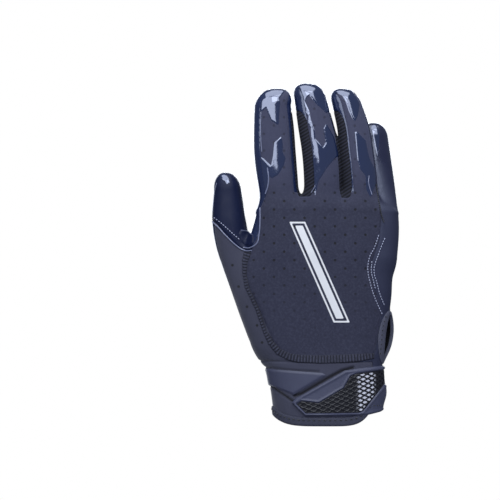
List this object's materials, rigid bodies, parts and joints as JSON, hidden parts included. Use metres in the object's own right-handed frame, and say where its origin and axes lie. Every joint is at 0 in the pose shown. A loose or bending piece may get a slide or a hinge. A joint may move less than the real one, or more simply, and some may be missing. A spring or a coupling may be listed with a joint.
{
  "type": "football glove",
  "caption": "Right-hand football receiver glove, filled out as worn: glossy grip palm, perforated back, knit finger gussets, strap closure, open at the wrist.",
  "frame": {"origin": "centre of the wrist opening, level with the lowest edge of its binding", "axes": "+Z from the wrist to the fingertips, -Y out of the back of the hand, +X towards the little finger"},
  "size_m": [0.13, 0.0528, 0.2393],
  "materials": {
    "grip_skin": "high-gloss navy silicone grip coating",
    "back_cloth": "matt charcoal-navy cloth, perforated",
    "side_cloth": "matt charcoal cloth",
    "thumb_film": "smooth navy film with a soft gloss",
    "ribbed_knit": "black ribbed knit",
    "moulded_closure": "satin moulded navy",
    "strap_mesh": "black moulded mesh over a silvery ground",
    "binding": "dark stretch binding"
  },
  "bodies": {
    "root": {"palm": "grip_skin", "thumb_front": "grip_skin", "index_front": "grip_skin", "middle_front": "grip_skin", "ring_front": "grip_skin", "little_finger": "grip_skin", "back_panel": "back_cloth", "index_back": "back_cloth", "middle_back": "back_cloth", "ring_back": "back_cloth", "thumb_back": "thumb_film", "radial_gusset": "side_cloth", "gusset_index_middle": "ribbed_knit", "gusset_middle_ring": "ribbed_knit", "gusset_ring_pinky": "ribbed_knit", "cuff_back": "side_cloth", "wrist_tab": "moulded_closure", "closure_strap": "moulded_closure", "strap_mesh": "strap_mesh", "hem_binding": "binding", "vent_binding": "binding"}
  },
  "joints": []
}
